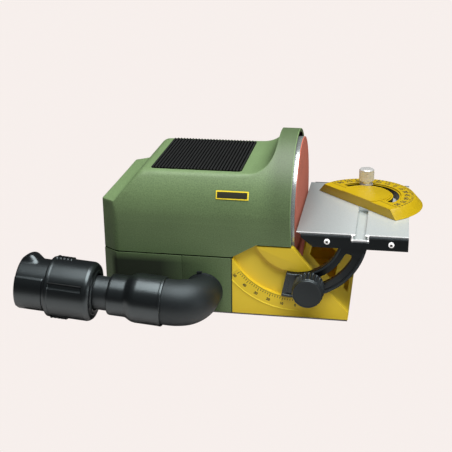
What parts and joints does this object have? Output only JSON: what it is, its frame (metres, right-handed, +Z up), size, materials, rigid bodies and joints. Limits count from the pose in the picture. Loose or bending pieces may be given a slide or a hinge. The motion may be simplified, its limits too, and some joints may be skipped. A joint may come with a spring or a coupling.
{
  "type": "benchtop disc sander",
  "caption": "Benchtop disc sander with arched hood, tilting slotted table on an arc quadrant, mitre gauge, chip chute and side dust elbow with hose coupling.",
  "frame": {"origin": "middle of the footprint box, on the bench under the rubber feet", "axes": "+X along the spindle from the rear wall to the table, +Y away from the clamp knob, +Z up"},
  "size_m": [0.3584, 0.207, 0.1575],
  "materials": {
    "green_plastic": "fine moulded texture",
    "yellow_plastic": "satin moulded",
    "gauge_plastic": "satin moulded",
    "black_plastic": "satin moulded",
    "badge_plastic": "smooth",
    "rubber": "matte",
    "aluminium": "satin extruded",
    "abrasive": "coarse grain",
    "steel": "turned",
    "brass": "turned",
    "iron": "plain",
    "board": "satin"
  },
  "bodies": {
    "base": {"upper_housing": "green_plastic", "lower_housing": "green_plastic", "chute_base": "yellow_plastic", "bottom_cover": "black_plastic", "rubber_feet": "rubber", "vent_grille": "black_plastic", "side_plate": "badge_plastic", "housing_screws": "steel", "motor_can": "steel", "motor_end_bell": "aluminium", "motor_magnets": "iron", "motor_plate": "steel", "motor_screws": "steel", "front_bearing": "steel", "rear_bearing": "steel", "control_board": "board", "switch_frame": "black_plastic", "speed_pot": "board", "cord_gland": "rubber", "dust_duct": "black_plastic", "dust_elbow": "black_plastic", "outlet_sleeve": "black_plastic", "coupling_tube": "black_plastic", "hose_cuff": "black_plastic", "clamp_insert": "brass", "guide_screw": "steel", "guide_insert": "brass"},
    "spindle": {"motor_shaft": "steel", "armature": "iron", "cooling_fan": "black_plastic", "sanding_disc": "aluminium", "abrasive_sheet": "abrasive", "grub_screw": "steel"},
    "table": {"table_plate": "aluminium", "near_quadrant": "black_plastic", "far_quadrant": "black_plastic", "bracket_screws": "steel"},
    "clamp": {"clamp_knob": "black_plastic", "clamp_stud": "steel"},
    "rail": {"gauge_rail": "steel", "gauge_pivot": "steel"},
    "head": {"gauge_head": "gauge_plastic"},
    "thumb": {"thumb_screw": "steel", "thumb_washer": "steel"},
    "rocker": {"switch_rocker": "black_plastic"},
    "dial": {"speed_dial": "black_plastic"},
    "collar": {"coupling_collar": "black_plastic"}
  },
  "joints": [
    {"name": "disc_spin", "type": "hinge", "parent": "base", "child": "spindle", "pos_m": [0.06554, 0.027, 0.0875], "axis": [1, 0, 0], "continuous": true},
    {"name": "table_tilt", "type": "hinge", "parent": "base", "child": "table", "pos_m": [0.06854, 0.027, 0.085], "axis": [0, 1, 0], "range_deg": [-10, 50]},
    {"name": "clamp_turn", "type": "hinge", "parent": "base", "child": "clamp", "pos_m": [0.08139, -0.053, 0.03565], "axis": [0, -1, 0], "range_deg": [0, 360]},
    {"name": "gauge_slide", "type": "slide", "parent": "table", "child": "rail", "axis": [0, 1, 0], "range_m": [-0.065, 0.045]},
    {"name": "gauge_swing", "type": "hinge", "parent": "rail", "child": "head", "pos_m": [0.12474, 0.042, 0.09], "axis": [0, 0, 1], "range_deg": [-30, 120]},
    {"name": "thumb_turn", "type": "hinge", "parent": "rail", "child": "thumb", "pos_m": [0.12474, 0.0715, 0.1], "axis": [0, 0, 1], "range_deg": [0, 360]},
    {"name": "switch_rock", "type": "hinge", "parent": "base", "child": "rocker", "pos_m": [-0.10546, 0.051, 0.08], "axis": [0, 1, 0], "range_deg": [0, 16]},
    {"name": "dial_turn", "type": "hinge", "parent": "base", "child": "dial", "pos_m": [-0.11446, 0.007, 0.08], "axis": [-1, 0, 0], "range_deg": [0, 270]},
    {"name": "collar_turn", "type": "hinge", "parent": "base", "child": "collar", "pos_m": [-0.12963, -0.0765, 0.03025], "axis": [-0.9971, 0, 0.0767], "range_deg": [0, 60]}
  ]
}
